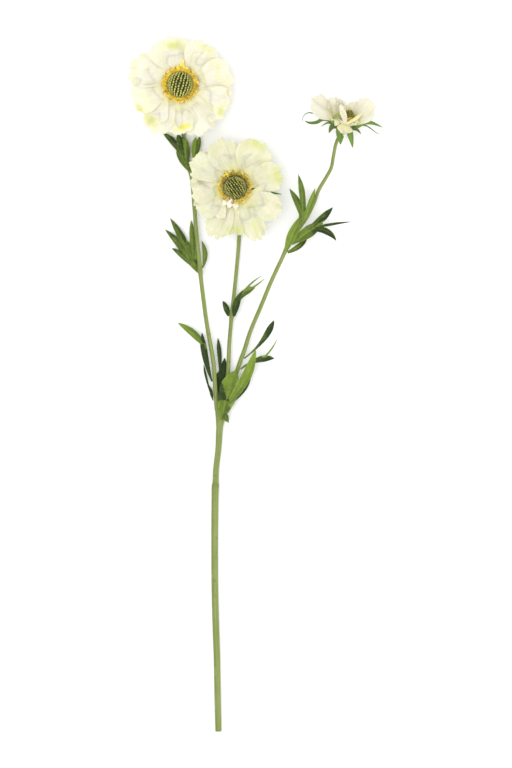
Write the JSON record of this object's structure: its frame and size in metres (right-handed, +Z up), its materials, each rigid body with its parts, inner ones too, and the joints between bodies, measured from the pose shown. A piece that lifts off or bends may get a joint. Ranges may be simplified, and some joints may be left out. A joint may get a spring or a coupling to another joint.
{
  "type": "scabiosa flower",
  "caption": "Cut scabiosa stem lying down: a green stem forks into stalks with divided leaves, each ending in a ruffled cream bloom round a domed green disc.",
  "frame": {"origin": "on the flat underside of the main stem, just below its fork", "axes": "+Y up the stem towards the blooms, +Z up from the surface it lies on, +X to the right seen from above"},
  "size_m": [0.2196, 0.5992, 0.0357],
  "materials": {
    "stem": "fresh green plant stem, satin with fine lengthwise ribs",
    "leaf": "fresh leaf, matte above with pale veins",
    "petal": "soft matte cream petal tissue with yellow-green tints",
    "disc": "matte green closed buds",
    "florets": "matte golden yellow frilled florets",
    "bract": "fresh green bracts, matte"
  },
  "bodies": {
    "root": {"main_stem": "stem", "stalk_left": "stem", "stalk_middle": "stem", "stalk_right": "stem", "leaf_neck_left": "leaf", "leaf_neck_right": "leaf", "leaf_left_upper": "leaf", "leaf_left_upper_small": "leaf", "leaf_middle_small": "leaf", "leaf_middle_curled": "leaf", "leaf_left_lower": "leaf", "leaf_left_lower_thin": "leaf", "leaf_fork_back": "leaf", "leaf_fork_front": "leaf", "leaf_fork_side": "leaf", "leaf_fork_right_low": "leaf", "leaf_fork_right_high": "leaf", "leaf_right_upper": "leaf", "leaf_right_outer": "leaf", "leaf_right_low": "leaf", "petals_left": "petal", "petals_middle": "petal", "petals_right": "petal", "pincushion_left": "disc", "pincushion_middle": "disc", "pincushion_right": "disc", "floret_ring_left": "florets", "floret_ring_middle": "florets", "floret_ring_right": "florets", "involucre_left": "bract", "involucre_middle": "bract", "involucre_right": "bract"}
  },
  "joints": []
}
